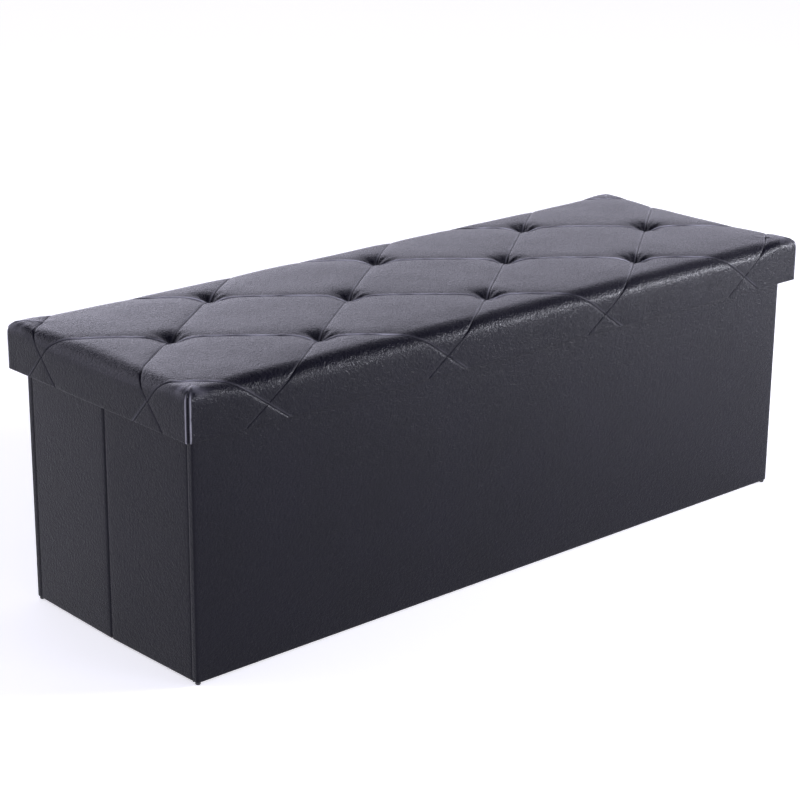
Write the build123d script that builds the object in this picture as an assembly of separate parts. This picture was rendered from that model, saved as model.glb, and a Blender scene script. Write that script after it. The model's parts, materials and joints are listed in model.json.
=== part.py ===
from build123d import *
import math
import os

# Folding storage ottoman: a hinged box of upholstered panels under a loose padded lid.
# Millimetres. The origin is at the middle of the footprint, on the floor. +X runs along the length,
# -Y faces the front and +Z is up.

# Whole object
lid_length = 1100
lid_width = 380
lid_overhang = 16
total_height = 380
lid_bottom = 318

# Walls: a board between a leather cover outside and a cloth lining inside
cover_thickness = 1.0
board_thickness = 7.4
lining_thickness = 0.6
wall_thickness = cover_thickness + board_thickness + lining_thickness
wall_bottom = 3.2
wall_top = 335
cover_edge_radius = 1.25
panel_gap = 0.7

# Fold of the walls: each end bows out a little at its middle when the box stands open
pivot_inset = 7
fold_gap = 1.5
end_bow_angle = 1.2

# Base board
base_floor_gap = 0.2
base_board_thickness = 2.2
base_lining_thickness = 0.3
base_end_clearance = 6
base_hinge_inset = 0.8
base_edge_gap = 0.3
base_rear_clearance = 2
pull_notch_width = 120
pull_notch_depth = 22
cut_margin = 1
pull_strap_width = 14
pull_strap_thickness = 1.2

# Hinge tapes
corner_tape_thickness = 0.5
corner_tape_clearance = 0.4
fold_tape_width = 2.4
fold_tape_thickness = 0.5
base_tape_thickness = 0.5
base_tape_bottom = 0.5
base_tape_top = 12
tape_end_margin = 6

# Glides
glide_radius = 3.5
glide_end_offset = 4.5

# Lid
lid_seat_gap = 0.3
lid_lining_thickness = 0.6
lid_board_thickness = 9
lid_cover_thickness = 1.5
lid_rail_thickness = 9
lid_rail_bottom_gap = 1.0
lid_edge_radius = 22
lid_corner_radius = 6
foam_clearance = 0.3
lid_frame_corner_radius = 8
tuft_step_x = 144.5
tuft_step_y = 112
tuft_hole_radius = 2
tuft_dimple_radius = 11
tuft_cord_radius = 1.2
tuft_depth = 16

# Worked out from the above
body_length = lid_length - 2 * lid_overhang
body_width = lid_width - 2 * lid_overhang
half_length = body_length / 2
half_width = body_width / 2
inner_x = half_length - wall_thickness
inner_y = half_width - wall_thickness
pivot_y = inner_y - pivot_inset
end_bow = pivot_y * math.tan(math.radians(end_bow_angle))
base_top = base_floor_gap + base_board_thickness + base_lining_thickness
lid_board_bottom = wall_top + lid_seat_gap + lid_lining_thickness
lid_board_top = lid_board_bottom + lid_board_thickness
tuft_bottom = total_height - lid_cover_thickness - tuft_depth


def slab(x_range, y_range, z_range):
    """Rectangular block between two limits on each axis."""
    size = [high - low for low, high in (x_range, y_range, z_range)]
    middle = [(high + low) / 2 for low, high in (x_range, y_range, z_range)]
    return Pos(*middle) * Box(*size)


def save(shape, node):
    """Write one named piece."""
    export_step(shape, f"parts/{node}.step")


def mirror_x(shape):
    """The same piece on the other end of the box."""
    return mirror(shape, about=Plane.YZ)


def mirror_y(shape):
    """The same piece on the other side of the box."""
    return mirror(shape, about=Plane.XZ)


# Long walls, made at the front and mirrored to the back

def long_wall_board():
    """Board of a long wall, covered on the outside and on both ends."""
    return slab(
        (-half_length + cover_thickness, half_length - cover_thickness),
        (-half_width + cover_thickness, -inner_y - lining_thickness),
        (wall_bottom + cover_thickness, wall_top - cover_thickness),
    )


def long_wall_cover():
    """Leather wrapped over the outside, the ends and the two long edges of the board."""
    outline = slab(
        (-half_length, half_length),
        (-half_width, -inner_y - lining_thickness),
        (wall_bottom, wall_top),
    )
    corners = outline.edges().filter_by(Axis.Z).group_by(Axis.Y)[0]
    return fillet(corners, cover_edge_radius) - long_wall_board()


def long_wall_lining():
    """Cloth over the inside of the board."""
    return slab(
        (-half_length, half_length),
        (-inner_y - lining_thickness, -inner_y),
        (wall_bottom, wall_top),
    )


# Half of an end wall, made straight at the left front, turned to its bow, and mirrored to the others

def bowed(shape):
    """A left front piece turned about the upright pivot line so that its far edge stands out."""
    pivot = Pos(-inner_x, -pivot_y, 0)
    return pivot * Rot(0, 0, end_bow_angle) * pivot.inverse() * shape


def end_half_board():
    """Board of half an end wall."""
    return slab(
        (-half_length + cover_thickness, -inner_x - lining_thickness),
        (-inner_y + panel_gap + cover_thickness, -fold_gap - cover_thickness),
        (wall_bottom + cover_thickness, wall_top - cover_thickness),
    )


def end_half_cover():
    """Leather wrapped over the outside and all four edges of the board."""
    outline = slab(
        (-half_length, -inner_x - lining_thickness),
        (-inner_y + panel_gap, -fold_gap),
        (wall_bottom, wall_top),
    )
    corners = outline.edges().filter_by(Axis.Z).group_by(Axis.X)[0]
    return fillet(corners, cover_edge_radius) - end_half_board()


def end_half_lining():
    """Cloth over the inside of the board."""
    return slab(
        (-inner_x - lining_thickness, -inner_x),
        (-inner_y + panel_gap, -fold_gap),
        (wall_bottom, wall_top),
    )


# Hinge tapes

def corner_hinge_tape():
    """Upright cloth tape that bridges from the front wall to the pivot line of the end wall."""
    return slab(
        (-inner_x + corner_tape_clearance, -inner_x + corner_tape_clearance + corner_tape_thickness),
        (-inner_y, -pivot_y - panel_gap),
        (wall_bottom + tape_end_margin, wall_top - tape_end_margin),
    )


def fold_hinge_tape():
    """Upright leather tape at the bottom of the groove between the two halves of an end wall."""
    return slab(
        (-half_length - end_bow, -half_length - end_bow + fold_tape_thickness),
        (-fold_gap, -fold_gap + fold_tape_width),
        (wall_bottom + tape_end_margin, wall_top - tape_end_margin),
    )


def base_hinge_tape():
    """Cloth tape along the foot of the front wall that the base board hangs on."""
    reach = inner_x - base_end_clearance - tape_end_margin
    return slab(
        (-reach, reach),
        (-inner_y, -inner_y + base_tape_thickness),
        (base_tape_bottom, base_tape_top),
    )


# Base board

def base_outline(bottom, top):
    """Plan of the base with a finger notch in its rear edge, between two heights."""
    half_base = inner_x - base_end_clearance
    front = -inner_y + base_hinge_inset + base_edge_gap
    rear = inner_y - base_rear_clearance
    plate = slab((-half_base, half_base), (front, rear), (bottom, top))
    notch = slab(
        (-pull_notch_width / 2, pull_notch_width / 2),
        (rear - pull_notch_depth, rear + cut_margin),
        (bottom - cut_margin, top + cut_margin),
    )
    return plate - notch


def base_board():
    """Hardboard floor of the box."""
    return base_outline(base_floor_gap, base_floor_gap + base_board_thickness)


def base_lining():
    """Cloth glued on top of the base board."""
    return base_outline(base_floor_gap + base_board_thickness, base_top)


def pull_strap():
    """Flat strap across the finger notch, for lifting the base board."""
    rear = inner_y - base_rear_clearance
    middle = base_floor_gap + base_board_thickness / 2
    return slab(
        (-pull_notch_width / 2, pull_notch_width / 2),
        (rear - pull_strap_width, rear - cut_margin),
        (middle - pull_strap_thickness / 2, middle + pull_strap_thickness / 2),
    )


# Glides

def glide_pair():
    """Two glides under the ends of the front wall."""
    glides = []
    for side in (-1, 1):
        spot = Pos(side * (half_length - glide_end_offset), -half_width + wall_thickness / 2, wall_bottom / 2)
        glides.append(spot * Cylinder(glide_radius, wall_bottom))
    return Compound(glides)


# Lid

def tuft_points():
    """Tuft places: a middle row of four and an outer row of three on each side, staggered."""
    points = [(tuft_step_x * step, 0) for step in (-3, -1, 1, 3)]
    for side in (-1, 1):
        points += [(tuft_step_x * step, side * tuft_step_y) for step in (-2, 0, 2)]
    return points


def tuft_cores(radius, bottom, top):
    """One upright cylinder at each tuft."""
    return [Pos(x, y, (bottom + top) / 2) * Cylinder(radius, top - bottom) for x, y in tuft_points()]


def lid_board():
    """Board under the foam, drilled for the tuft cords."""
    reach_x = lid_length / 2 - lid_cover_thickness
    reach_y = lid_width / 2 - lid_cover_thickness
    board = slab((-reach_x, reach_x), (-reach_y, reach_y), (lid_board_bottom, lid_board_top))
    board = fillet(board.edges().filter_by(Axis.Z), lid_frame_corner_radius)
    drills = tuft_cores(tuft_hole_radius, lid_board_bottom - cut_margin, lid_board_top + cut_margin)
    return board - drills


def lid_long_rail():
    """Front rail of the lid's skirt, the full length of the lid."""
    reach_x = lid_length / 2 - lid_cover_thickness
    outer = -lid_width / 2 + lid_cover_thickness
    rail = slab(
        (-reach_x, reach_x),
        (outer, outer + lid_rail_thickness),
        (lid_bottom + lid_rail_bottom_gap, lid_board_bottom),
    )
    corners = rail.edges().filter_by(Axis.Z).group_by(Axis.Y)[0]
    return fillet(corners, lid_frame_corner_radius)


def lid_end_rail():
    """Left rail of the lid's skirt, between the two long rails."""
    reach_y = lid_width / 2 - lid_cover_thickness - lid_rail_thickness
    outer = -lid_length / 2 + lid_cover_thickness
    return slab(
        (outer, outer + lid_rail_thickness),
        (-reach_y, reach_y),
        (lid_bottom + lid_rail_bottom_gap, lid_board_bottom),
    )


def rounded_block(inset, bottom, top):
    """Block with upright corners and a top edge that are rounded, all set in by the same amount."""
    block = slab(
        (-lid_length / 2 + inset, lid_length / 2 - inset),
        (-lid_width / 2 + inset, lid_width / 2 - inset),
        (bottom, top),
    )
    block = fillet(block.edges().filter_by(Axis.Z), lid_corner_radius - inset)
    return fillet(block.faces().sort_by(Axis.Z)[-1].edges(), lid_edge_radius - inset)


def lid_foam():
    """Foam pad that fills the cover above the board, pressed down round each tuft cord."""
    inset = lid_cover_thickness + foam_clearance
    pad = rounded_block(inset, lid_board_top, total_height - inset)
    pad -= tuft_cores(tuft_hole_radius, lid_board_top - cut_margin, tuft_bottom)
    return pad - tuft_cores(tuft_dimple_radius, tuft_bottom - foam_clearance, total_height)


def lid_cover():
    """Leather cover over the top and down the skirt, with a dimple at each tuft."""
    shell = rounded_block(0, lid_bottom, total_height)
    reach_x = lid_length / 2 - lid_cover_thickness
    reach_y = lid_width / 2 - lid_cover_thickness
    shell -= slab((-reach_x, reach_x), (-reach_y, reach_y), (lid_bottom - cut_margin, lid_board_top))
    shell -= rounded_block(lid_cover_thickness, lid_board_top - cut_margin, total_height - lid_cover_thickness)
    cups = tuft_cores(tuft_dimple_radius - foam_clearance, tuft_bottom, total_height - lid_cover_thickness)
    wells = tuft_cores(
        tuft_dimple_radius - foam_clearance - lid_cover_thickness,
        tuft_bottom + lid_cover_thickness,
        total_height + cut_margin,
    )
    return shell + cups - wells


def lid_lining():
    """Cloth on the underside of the lid, between the rails."""
    inset = lid_cover_thickness + lid_rail_thickness
    reach_x = lid_length / 2 - inset
    reach_y = lid_width / 2 - inset
    return slab((-reach_x, reach_x), (-reach_y, reach_y), (lid_board_bottom - lid_lining_thickness, lid_board_bottom))


def tuft_cords():
    """Cords that pull the cover down to the board."""
    return Compound(tuft_cores(tuft_cord_radius, lid_board_bottom, tuft_bottom))


os.makedirs("parts", exist_ok=True)

save(long_wall_board(), "front_board")
save(long_wall_cover(), "front_cover")
save(long_wall_lining(), "front_lining")
save(mirror_y(long_wall_board()), "back_board")
save(mirror_y(long_wall_cover()), "back_cover")
save(mirror_y(long_wall_lining()), "back_lining")

for piece, make in (("board", end_half_board), ("cover", end_half_cover), ("lining", end_half_lining)):
    left_front = bowed(make())
    left_back = mirror_y(left_front)
    save(left_front, f"left_front_{piece}")
    save(left_back, f"left_back_{piece}")
    save(mirror_x(left_front), f"right_front_{piece}")
    save(mirror_x(left_back), f"right_back_{piece}")

corner_tape = corner_hinge_tape()
save(corner_tape, "left_front_corner_tape")
save(mirror_x(corner_tape), "right_front_corner_tape")
save(mirror_y(corner_tape), "left_back_corner_tape")
save(mirror_y(mirror_x(corner_tape)), "right_back_corner_tape")
save(fold_hinge_tape(), "left_fold_tape")
save(mirror_x(fold_hinge_tape()), "right_fold_tape")
save(base_hinge_tape(), "base_hinge_tape")

save(base_board(), "base_board")
save(base_lining(), "base_lining")
save(pull_strap(), "base_pull_strap")

save(glide_pair(), "front_glides")
save(mirror_y(glide_pair()), "back_glides")

save(lid_board(), "lid_board")
save(lid_long_rail(), "lid_front_rail")
save(mirror_y(lid_long_rail()), "lid_back_rail")
save(lid_end_rail(), "lid_left_rail")
save(mirror_x(lid_end_rail()), "lid_right_rail")
save(lid_foam(), "lid_foam")
save(lid_cover(), "lid_cover")
save(lid_lining(), "lid_lining")
save(tuft_cords(), "lid_tuft_cords")
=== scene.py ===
import bmesh
import bpy
import json
import math
from mathutils import Euler, Matrix, Vector, noise


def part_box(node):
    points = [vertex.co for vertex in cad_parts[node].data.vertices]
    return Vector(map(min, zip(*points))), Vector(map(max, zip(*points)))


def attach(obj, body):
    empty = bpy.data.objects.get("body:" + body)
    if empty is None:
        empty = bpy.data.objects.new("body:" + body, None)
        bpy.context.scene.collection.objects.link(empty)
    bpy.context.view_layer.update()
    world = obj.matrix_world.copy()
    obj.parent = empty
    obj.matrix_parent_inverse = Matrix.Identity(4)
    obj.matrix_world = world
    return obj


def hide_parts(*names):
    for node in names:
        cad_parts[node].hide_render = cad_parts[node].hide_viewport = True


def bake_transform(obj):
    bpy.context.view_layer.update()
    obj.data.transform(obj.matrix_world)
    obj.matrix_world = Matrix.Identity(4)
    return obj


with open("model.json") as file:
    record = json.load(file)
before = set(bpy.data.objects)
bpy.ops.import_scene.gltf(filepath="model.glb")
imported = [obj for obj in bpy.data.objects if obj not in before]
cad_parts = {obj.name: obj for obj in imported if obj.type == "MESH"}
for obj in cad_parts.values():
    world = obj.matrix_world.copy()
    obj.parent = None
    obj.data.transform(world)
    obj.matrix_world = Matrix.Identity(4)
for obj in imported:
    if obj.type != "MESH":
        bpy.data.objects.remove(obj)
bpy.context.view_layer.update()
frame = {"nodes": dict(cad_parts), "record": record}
mm = 0.001


def sRgb(hexCode):
    # "#rrggbb" as a linear colour with alpha
    parts = [int(hexCode[i:i + 2], 16) / 255 for i in (1, 3, 5)]
    return [c / 12.92 if c <= 0.04045 else ((c + 0.055) / 1.055) ** 2.4 for c in parts] + [1.0]


def addNode(tree, kind, settings=None, values=None, links=None):
    # one node, with its settings, its input values, and links given as input name: (node, output name)
    node = tree.nodes.new(kind)
    for key, value in (settings or {}).items():
        setattr(node, key, value)
    for key, value in (values or {}).items():
        node.inputs[key].default_value = value
    for key, (source, output) in (links or {}).items():
        tree.links.new(source.outputs[output], node.inputs[key])
    return node


def newMaterial(name, shader):
    # a material with one Principled shader, its plain values set on its own sockets
    material = bpy.data.materials.new(name)
    material.use_nodes = True
    tree = material.node_tree
    tree.nodes.clear()
    surface = addNode(tree, "ShaderNodeBsdfPrincipled", values=shader)
    addNode(tree, "ShaderNodeOutputMaterial", links={"Surface": (surface, "BSDF")})
    return material, tree, surface


def coatedLeather():
    # PVC leather cloth: a knitted backing with a black plastic skin, embossed by a roller with pebble grain.
    # The skin is smooth between the pebbles' valleys, so broad soft reflections break into fine sparkle.
    # Real pebbles are 1.2 mm; pebbles and hills are drawn two to three times as coarse, so that they show.
    settings = {"pebble": 2.4 * mm, "crease": 7 * mm, "blotch": 90 * mm, "hill": 3.4 * mm}
    material, tree, surface = newMaterial("pvcLeatherBlack", {
        "Base Color": sRgb("#0b0b11"), "Roughness": 0.3, "IOR": 1.5, "Specular IOR Level": 0.13})
    place = addNode(tree, "ShaderNodeTexCoord")
    sway = addNode(tree, "ShaderNodeTexNoise", {"noise_dimensions": "3D"},
                   {"Scale": 1 / settings["crease"], "Detail": 2.0}, {"Vector": (place, "Object")})
    swayed = addNode(tree, "ShaderNodeMix", {"data_type": "VECTOR"}, {"Factor": 0.0016},
                     {"A": (place, "Object"), "B": (sway, "Color")})
    pebbles = addNode(tree, "ShaderNodeTexVoronoi", {"feature": "DISTANCE_TO_EDGE"},
                      {"Scale": 1 / settings["pebble"]}, {"Vector": (swayed, "Result")})
    valleys = addNode(tree, "ShaderNodeMapRange", {"interpolation_type": "SMOOTHSTEP"},
                      {"From Min": 0.0, "From Max": 0.22, "To Min": 0.0, "To Max": 1.0},
                      {"Value": (pebbles, "Distance")})
    blotches = addNode(tree, "ShaderNodeTexNoise", None,
                       {"Scale": 1 / settings["blotch"], "Detail": 3.0}, {"Vector": (place, "Object")})
    tint = addNode(tree, "ShaderNodeMix", {"data_type": "RGBA"},
                   {"A": sRgb("#08080f"), "B": sRgb("#0d0c16")}, {"Factor": (blotches, "Fac")})
    # painted highlight: the base colour turns pale in thin lines beside the seams, along the corner seams and
    # in flecks at the corners, standing in for light caught on the lapped seam edges and gathers
    paintedHighlight = addNode(tree, "ShaderNodeAttribute", {"attribute_name": "paintedHighlight"})
    highlit = addNode(tree, "ShaderNodeMix", {"data_type": "RGBA"},
                    {"B": sRgb("#bfbec8")}, {"Factor": (paintedHighlight, "Fac"), "A": (tint, "Result")})
    tree.links.new(highlit.outputs["Result"], surface.inputs["Base Color"])
    worn = addNode(tree, "ShaderNodeMapRange", None,
                   {"From Min": 0.0, "From Max": 1.0, "To Min": 0.31, "To Max": 0.2},
                   {"Value": (valleys, "Result")})
    tree.links.new(worn.outputs["Result"], surface.inputs["Roughness"])
    hills = addNode(tree, "ShaderNodeTexNoise", None,
                    {"Scale": 1 / settings["hill"], "Detail": 1.0}, {"Vector": (place, "Object")})
    fine = addNode(tree, "ShaderNodeBump", None, {"Strength": 0.6, "Distance": 0.22 * mm},
                   {"Height": (valleys, "Result")})
    rough = addNode(tree, "ShaderNodeBump", None, {"Strength": 0.75, "Distance": 0.65 * mm},
                    {"Height": (hills, "Fac"), "Normal": (fine, "Normal")})
    relief = addNode(tree, "ShaderNodeBump", None, {"Strength": 0.25, "Distance": 0.25 * mm},
                     {"Height": (sway, "Fac"), "Normal": (rough, "Normal")})
    tree.links.new(relief.outputs["Normal"], surface.inputs["Normal"])
    return material


def spunLining():
    # Non-woven polypropylene: fibres pressed together, with a grid of small bonded dimples. Dull and fuzzy.
    settings = {"bond": 1.6 * mm, "fibre": 0.9 * mm}
    material, tree, surface = newMaterial("spunbondLiningBlack", {
        "Base Color": sRgb("#26262a"), "Roughness": 0.85, "Sheen Weight": 0.25, "Sheen Roughness": 0.4})
    place = addNode(tree, "ShaderNodeTexCoord")
    bonds = addNode(tree, "ShaderNodeTexVoronoi", {"feature": "F1"},
                    {"Scale": 1 / settings["bond"], "Randomness": 0.25}, {"Vector": (place, "Object")})
    fibres = addNode(tree, "ShaderNodeTexNoise", None,
                     {"Scale": 1 / settings["fibre"], "Detail": 4.0}, {"Vector": (place, "Object")})
    shade = addNode(tree, "ShaderNodeMix", {"data_type": "RGBA"},
                    {"A": sRgb("#1d1d20"), "B": sRgb("#323236")}, {"Factor": (fibres, "Fac")})
    tree.links.new(shade.outputs["Result"], surface.inputs["Base Color"])
    first = addNode(tree, "ShaderNodeBump", None, {"Strength": 0.5, "Distance": 0.2 * mm},
                    {"Height": (bonds, "Distance")})
    relief = addNode(tree, "ShaderNodeBump", None, {"Strength": 0.4, "Distance": 0.15 * mm},
                     {"Height": (fibres, "Fac"), "Normal": (first, "Normal")})
    tree.links.new(relief.outputs["Normal"], surface.inputs["Normal"])
    return material


def wovenTape(name, dark, light, thread):
    # Woven polyester tape: crossed threads that show as a fine ribbed weave with a dull silk sheen.
    material, tree, surface = newMaterial(name, {
        "Base Color": sRgb(dark), "Roughness": 0.7, "Sheen Weight": 0.3, "Sheen Roughness": 0.35})
    place = addNode(tree, "ShaderNodeTexCoord")
    weft = addNode(tree, "ShaderNodeTexWave", {"wave_type": "BANDS", "bands_direction": "DIAGONAL"},
                   {"Scale": 0.314 / thread, "Distortion": 0.6, "Detail": 1.0},   # bands 1.4 threads apart
                   {"Vector": (place, "Object")})
    shade = addNode(tree, "ShaderNodeMix", {"data_type": "RGBA"},
                    {"A": sRgb(dark), "B": sRgb(light)}, {"Factor": (weft, "Fac")})
    tree.links.new(shade.outputs["Result"], surface.inputs["Base Color"])
    relief = addNode(tree, "ShaderNodeBump", None, {"Strength": 0.5, "Distance": 0.2 * mm},
                     {"Height": (weft, "Fac")})
    tree.links.new(relief.outputs["Normal"], surface.inputs["Normal"])
    return material


def pressedBoard():
    # Medium density fibreboard: pale brown, short pressed fibres.
    material, tree, surface = newMaterial("fibreboardSawn", {
        "Base Color": sRgb("#a98a66"), "Roughness": 0.75})
    place = addNode(tree, "ShaderNodeTexCoord")
    fibres = addNode(tree, "ShaderNodeTexNoise", None,
                     {"Scale": 1 / (2.5 * mm), "Detail": 5.0, "Roughness": 0.65},   # fibres about 2.5 mm long
                     {"Vector": (place, "Object")})
    shade = addNode(tree, "ShaderNodeMix", {"data_type": "RGBA"},
                    {"A": sRgb("#8f7150"), "B": sRgb("#bd9c74")}, {"Factor": (fibres, "Fac")})
    tree.links.new(shade.outputs["Result"], surface.inputs["Base Color"])
    relief = addNode(tree, "ShaderNodeBump", None, {"Strength": 0.3, "Distance": 0.1 * mm},
                     {"Height": (fibres, "Fac")})
    tree.links.new(relief.outputs["Normal"], surface.inputs["Normal"])
    return material


def cutFoam():
    # Polyurethane foam, cut from a block: open cells about a millimetre across, yellowed a little with age.
    material, tree, surface = newMaterial("polyurethaneFoam", {
        "Base Color": sRgb("#e6ddb8"), "Roughness": 0.95,
        "Subsurface Weight": 0.15, "Subsurface Scale": 4 * mm})
    place = addNode(tree, "ShaderNodeTexCoord")
    cells = addNode(tree, "ShaderNodeTexVoronoi", {"feature": "F1"},
                    {"Scale": 1 / (1.4 * mm)}, {"Vector": (place, "Object")})
    shade = addNode(tree, "ShaderNodeMix", {"data_type": "RGBA"},
                    {"A": sRgb("#efe7c6"), "B": sRgb("#cdbf90")}, {"Factor": (cells, "Distance")})
    tree.links.new(shade.outputs["Result"], surface.inputs["Base Color"])
    relief = addNode(tree, "ShaderNodeBump", None, {"Strength": 0.6, "Distance": 0.4 * mm},
                     {"Height": (cells, "Distance")})
    tree.links.new(relief.outputs["Normal"], surface.inputs["Normal"])
    return material


def mouldedGlide():
    # Injection moulded polyethylene: waxy black, a faint spark-eroded texture from the mould.
    material, tree, surface = newMaterial("polyethyleneBlack", {
        "Base Color": sRgb("#1a1a1b"), "Roughness": 0.5, "IOR": 1.5})
    place = addNode(tree, "ShaderNodeTexCoord")
    spark = addNode(tree, "ShaderNodeTexNoise", None,
                    {"Scale": 1 / (0.6 * mm), "Detail": 2.0}, {"Vector": (place, "Object")})
    rub = addNode(tree, "ShaderNodeMapRange", None,
                  {"From Min": 0.0, "From Max": 1.0, "To Min": 0.4, "To Max": 0.6},
                  {"Value": (spark, "Fac")})
    tree.links.new(rub.outputs["Result"], surface.inputs["Roughness"])
    relief = addNode(tree, "ShaderNodeBump", None, {"Strength": 0.2, "Distance": 0.05 * mm},
                     {"Height": (spark, "Fac")})
    tree.links.new(relief.outputs["Normal"], surface.inputs["Normal"])
    return material


slotMaterial = {
    "black_leather": coatedLeather(),
    "lining_cloth": spunLining(),
    "tape_cloth": wovenTape("polyesterTapeBlack", "#18181a", "#2c2c30", 0.8 * mm),
    "strap_webbing": wovenTape("webbingBlack", "#141416", "#2e2e33", 1.4 * mm),
    "tuft_cord": wovenTape("waxedCordBlack", "#121214", "#29292d", 0.7 * mm),
    "fibreboard": pressedBoard(),
    "foam": cutFoam(),
    "glide_plastic": mouldedGlide(),
}
for part in frame["record"]["subparts"]:
    cadMesh = frame["nodes"][part["node"]].data
    cadMesh.materials.clear()
    cadMesh.materials.append(slotMaterial[part["material_slot"]])
print("materials made")


def addPiece(name, shape, body, slot, replaced=(), subdivisions=0, thickness=0.0, inward=-1.0):
    # a bmesh as a smooth piece on its body, in the look of its slot
    mesh = bpy.data.meshes.new(name)
    shape.to_mesh(mesh)
    shape.free()
    piece = bpy.data.objects.new(name, mesh)
    bpy.context.scene.collection.objects.link(piece)
    mesh.materials.append(slotMaterial[slot])
    mesh.shade_smooth()
    if subdivisions:
        finer = piece.modifiers.new("finer", "SUBSURF")
        finer.levels = subdivisions
        finer.render_levels = subdivisions
    if thickness:
        skin = piece.modifiers.new("skin", "SOLIDIFY")
        skin.thickness = thickness
        skin.offset = inward
    if isinstance(body, str):
        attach(piece, body)
    else:
        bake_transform(piece)
    if replaced:
        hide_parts(*replaced)
    return piece


def cutAcross(shape, axis, places):
    # edge loops where the shape crosses each place on an axis
    normal = Vector([1.0 if i == axis else 0.0 for i in range(3)])
    for place in places:
        geometry = shape.verts[:] + shape.edges[:] + shape.faces[:]
        bmesh.ops.bisect_plane(shape, geom=geometry, dist=1e-6, plane_co=normal * place, plane_no=normal)


def evenPlaces(low, high, step):
    # places between two limits, about a step apart
    count = max(1, round((high - low) / step))
    return [low + (high - low) * i / count for i in range(1, count)]


def rowPlaces(low, high, rim, step):
    # a place near each rim, and places about a step apart between them
    return [low + rim, high - rim] + evenPlaces(low + rim, high - rim, step)


def roundEdges(shape, edges, offset, segments):
    bmesh.ops.bevel(shape, geom=edges, offset=offset, affect="EDGES", segments=segments,
                    profile=0.5, material=-1)


def pullRim(shape, edges, move):
    # open edges extruded and moved on; gives the new rim
    made = bmesh.ops.extrude_edge_only(shape, edges=edges)["geom"]
    verts = [g for g in made if isinstance(g, bmesh.types.BMVert)]
    bmesh.ops.translate(shape, verts=verts, vec=move)
    return [g for g in made if isinstance(g, bmesh.types.BMEdge) and all(v in verts for v in g.verts)]


def boxShape(low, high):
    # a plain block between two corners, to be shaped further
    shape = bmesh.new()
    bmesh.ops.create_cube(shape, size=1.0)
    size = high - low
    bmesh.ops.scale(shape, verts=shape.verts, vec=size)
    bmesh.ops.translate(shape, verts=shape.verts, vec=(low + high) / 2)
    return shape


lidCover = {
    "stepX": 144.5 * mm, "stepY": 112 * mm,         # half the length and width of a stitched diamond
    "edgeRound": 22 * mm,                          # roundover between top and skirt
    "cornerEdge": 8 * mm, "cornerRun": 42 * mm,    # the roundover tightens to this at the corners
    "cornerTop": 16 * mm, "cornerSkirt": 7 * mm,   # plan radius of the corners, above and at the skirt
    "endPull": 0.85, "frontPull": 0.92,            # how far the pattern is pulled short over the edges
    "cellCuts": 30, "cutEase": 0.88,               # rows per diamond, and how closely they crowd at seams
    "crown": 1.5 * mm,                             # panels above the CAD top
    "puff": 1.5 * mm, "puffSkirt": 0.5 * mm, "puffRun": 10 * mm,
    "crease": 1.8 * mm, "creaseSkirt": 1.4 * mm, "creaseRun": 0.8 * mm,
    "lap": 0.2 * mm, "lapPlace": 2.2 * mm, "lapRun": 1.1 * mm, "lapFar": 0.5 * mm,
    "well": 8.8 * mm, "wellRun": 15.5 * mm, "dish": 2.6 * mm, "dishRun": 26 * mm,
    "folds": 1.3 * mm, "foldCount": 9, "foldPlace": 15 * mm, "foldRun": 9 * mm, "foldReach": 60 * mm,
    # painted highlight: pale lines beside the seams, mostly on one side, pale flecks at the corners, and a
    # pale line along each corner seam
    "highlightPlace": 1.9 * mm, "highlightRun": 0.9 * mm,
    "highlightNear": 0.05, "highlightAcross": 0.22, "highlightFar": 0.35, "highlightSkirt": 0.1,
    "highlightCorner": 0.5, "highlightCornerRun": 13 * mm, "highlightInset": 6 * mm,
    "highlightBreak": 26 * mm, "highlightFleck": 2.5 * mm, "highlightFade": 12 * mm,
    "seamHighlight": 0.6, "seamHighlightRun": 0.6 * mm, "seamStart": 14 * mm,   # the corner seams
    "edgeFall": 1.4 * mm, "edgeFallRun": 24 * mm,
    "gather": 0.35 * mm, "gatherCount": 7, "gatherPlace": 9 * mm, "gatherRun": 16 * mm,
    "ripple": 0.35 * mm, "rippleRun": 11 * mm, "rippleSize": 8 * mm,
    "drift": 0.7 * mm, "driftSize": 85 * mm, "driftFine": 28 * mm,
    "hem": 10.9 * mm, "hemRise": 16 * mm,
    "seamGap": 3.6 * mm, "seamRidge": 0.6 * mm, "seamRidgeRun": 1.1 * mm,
    "seamGroove": 0.7 * mm, "seamGrooveRun": 1.0 * mm,
    "fanShares": (0.6, 0.74, 0.82, 0.88, 0.93, 0.97), "fanReach": 25 * mm,   # extra rows at the corner seams
    "thickness": 1.2 * mm, "foamEase": 1.0 * mm, "foamCuts": 8,
}
coverLow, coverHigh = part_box("lid_cover")
lidCover["halfX"] = (coverHigh.x - coverLow.x) / 2
lidCover["halfY"] = (coverHigh.y - coverLow.y) / 2
lidCover["flatX"] = lidCover["halfX"] - lidCover["edgeRound"]
lidCover["flatY"] = lidCover["halfY"] - lidCover["edgeRound"]
lidCover["drop"] = coverHigh.z - coverLow.z - lidCover["edgeRound"] * (1 - math.pi / 2)
tufts = [(i * lidCover["stepX"], j * lidCover["stepY"])
         for j, row in ((0, (-3, -1, 1, 3)), (1, (-2, 0, 2)), (-1, (-2, 0, 2))) for i in row]


def swell(place, size, seed=0.0):
    # smooth random height from -1 to 1 with hills about a size across
    return noise.noise(Vector(place) / size + Vector((seed, seed * 1.7, seed * 0.3)))


def fromSeams(u, v):
    # signed distance of a point of the flat pattern from the nearest seam each way
    across = 1 / math.hypot(1 / lidCover["stepX"], 1 / lidCover["stepY"])
    p = (u / lidCover["stepX"] + v / lidCover["stepY"] - 1) / 2
    q = (u / lidCover["stepX"] - v / lidCover["stepY"] - 1) / 2
    return 2 * (p - round(p)) * across, 2 * (q - round(q)) * across


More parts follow.
